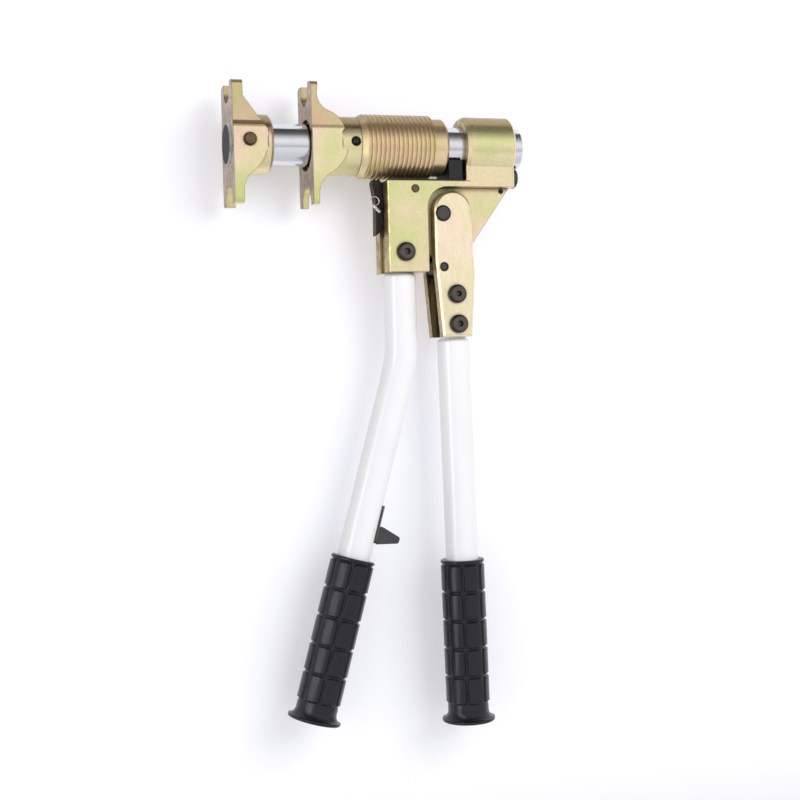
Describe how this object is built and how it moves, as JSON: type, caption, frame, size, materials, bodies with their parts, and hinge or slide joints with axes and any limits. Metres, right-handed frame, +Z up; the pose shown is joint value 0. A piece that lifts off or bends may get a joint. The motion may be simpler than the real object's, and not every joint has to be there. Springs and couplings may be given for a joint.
{
  "type": "pipe sleeve press tool",
  "caption": "Hand press for sliding pipe sleeves: guide rod, fixed and moving forked yokes, ribbed ratchet sleeve, forged body, pawls, crank lever and two white tube handles with black grips.",
  "frame": {"origin": "centre of the guide rod's front end face, on the rod's axis", "axes": "+X along the guide rod from the fixed yoke to the housing, +Y away from the side with the screw heads, +Z up from the handles to the rod"},
  "size_m": [0.23, 0.0488, 0.4887],
  "materials": {
    "zinc": "yellow chromate zinc plating, satin",
    "chrome": "polished",
    "white_paint": "powder coat, fine texture",
    "grip_rubber": "satin with fine grain",
    "black_oxide": "black oxide, satin",
    "brass_pin": "brownish gold chromate, satin",
    "spring_steel": "bright",
    "grey_plate": "dark grey, satin",
    "bumper_rubber": "dark grey, matt"
  },
  "bodies": {
    "frame": {"guide_rod": "chrome", "fixed_yoke": "zinc", "fixed_yoke_pin": "brass_pin", "press_body": "zinc", "rod_lock_screw": "black_oxide", "housing_roll_pin": "black_oxide", "hold_pawl_pin": "brass_pin", "fixed_handle_screw": "black_oxide", "fixed_handle_tube": "white_paint", "fixed_handle_grip": "grip_rubber", "stop_saddle": "grey_plate", "stop_bumper": "bumper_rubber", "sleeve_buffer": "bumper_rubber"},
    "sleeve": {"ratchet_sleeve": "zinc"},
    "yoke": {"moving_yoke": "zinc", "detent_ball": "spring_steel"},
    "lever": {"lever_cheek_front": "zinc", "lever_cheek_rear": "zinc", "crank_pin": "black_oxide", "lever_stop_pin": "black_oxide", "lever_stop_bush": "brass_pin", "lever_screws": "black_oxide", "moving_handle_tube": "white_paint", "moving_handle_grip": "grip_rubber"},
    "drive_pawl": {"drive_pawl": "black_oxide"},
    "hold_pawl": {"hold_pawl": "black_oxide", "release_spring": "spring_steel"}
  },
  "joints": [
    {"name": "sleeve_slide", "type": "slide", "parent": "frame", "child": "sleeve", "axis": [1, 0, 0], "range_m": [-0.028, 0]},
    {"name": "yoke_turn", "type": "hinge", "parent": "sleeve", "child": "yoke", "pos_m": [0.08, 0, 0], "axis": [1, 0, 0], "continuous": true},
    {"name": "lever_hinge", "type": "hinge", "parent": "frame", "child": "lever", "pos_m": [0.1699, 0, -0.0492], "axis": [0, 1, 0], "range_deg": [-50, 6.5]},
    {"name": "drive_pawl_hinge", "type": "hinge", "parent": "lever", "child": "drive_pawl", "pos_m": [0.1618, 0, -0.0516], "axis": [0, 1, 0], "range_deg": [-10, 76]},
    {"name": "hold_pawl_hinge", "type": "hinge", "parent": "frame", "child": "hold_pawl", "pos_m": [0.1402, 0, -0.0331], "axis": [0, 1, 0], "range_deg": [-6, 0], "stiffness_Nm_per_rad": 0.3, "springref_deg": 20.05}
  ],
  "couplings": [
    {"joint": "drive_pawl_hinge", "follows": "lever_hinge", "ratio": -1.5}
  ]
}
